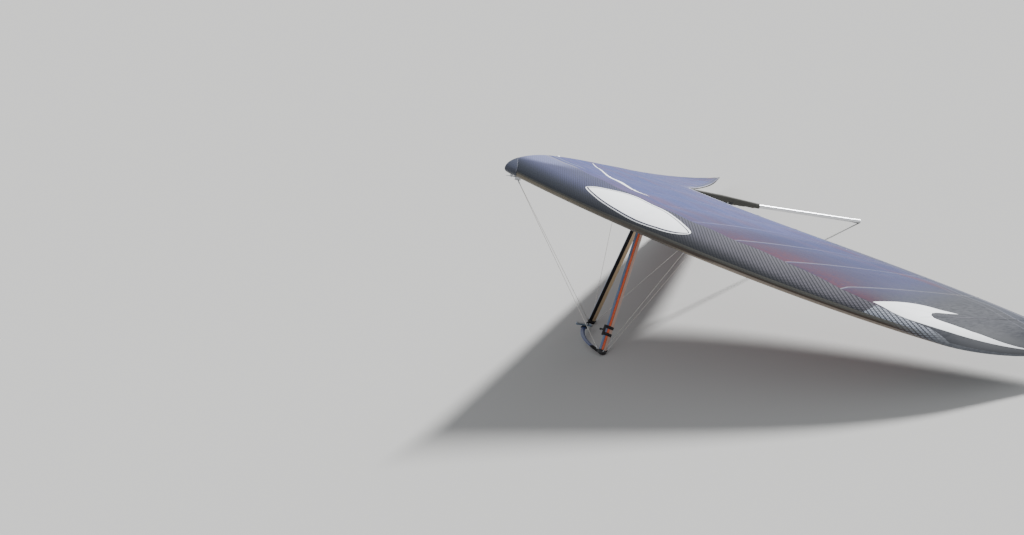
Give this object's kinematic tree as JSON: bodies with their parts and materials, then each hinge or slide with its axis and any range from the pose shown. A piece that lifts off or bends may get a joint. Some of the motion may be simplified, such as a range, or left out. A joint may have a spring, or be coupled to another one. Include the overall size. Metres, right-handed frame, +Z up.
{
  "type": "hang glider",
  "caption": "Topless double-surface hang glider parked on its control bar and keel, with sail, keel, control frame, stays and swinging hang loop.",
  "frame": {"origin": "on the floor, under the middle of the parked glider's bounding box", "axes": "+X forward, towards the nose; +Y to the pilot's left wing; +Z up"},
  "size_m": [2.9884, 10.8, 1.9692],
  "materials": {
    "sail_cloth": "smoked laminated sailcloth, smooth and slightly glossy",
    "pocket_cloth": "black woven polyester",
    "anodised": "clear anodised tube",
    "orange_tube": "orange-red powder-coated streamlined tube",
    "carbon": "clear-coated carbon fibre",
    "black_plastic": "black moulded plastic",
    "steel_wire": "stainless rigging wire",
    "webbing": "flat woven webbing"
  },
  "bodies": {
    "airframe": {"keel_tube": "anodised", "keel_tail_tube": "anodised", "keel_tail_cap": "anodised", "sail_left": "sail_cloth", "sail_right": "sail_cloth", "nose_cone": "sail_cloth", "keel_pocket": "pocket_cloth", "apex_bracket": "anodised", "downtube_left": "orange_tube", "downtube_right": "orange_tube", "downtube_top_left": "black_plastic", "downtube_top_right": "black_plastic", "base_bar": "carbon", "nose_wire_left": "steel_wire", "side_wire_left": "steel_wire", "rear_wire_left": "steel_wire", "nose_wire_right": "steel_wire", "side_wire_right": "steel_wire", "rear_wire_right": "steel_wire", "corner_left": "black_plastic", "corner_right": "black_plastic", "nose_plate": "anodised", "rear_wire_bracket": "anodised", "side_wire_tang_left": "anodised", "side_wire_tang_right": "anodised", "hang_band": "webbing", "instrument_pod": "black_plastic", "instrument_bracket": "black_plastic", "downtube_mount": "black_plastic"},
    "hang_loop": {"hang_loop": "webbing"}
  },
  "joints": [
    {"name": "hang_loop_swing", "type": "hinge", "parent": "airframe", "child": "hang_loop", "pos_m": [0.13979, 0, 1.06217], "axis": [0, -1, 0], "range_deg": [-32, 56]}
  ]
}
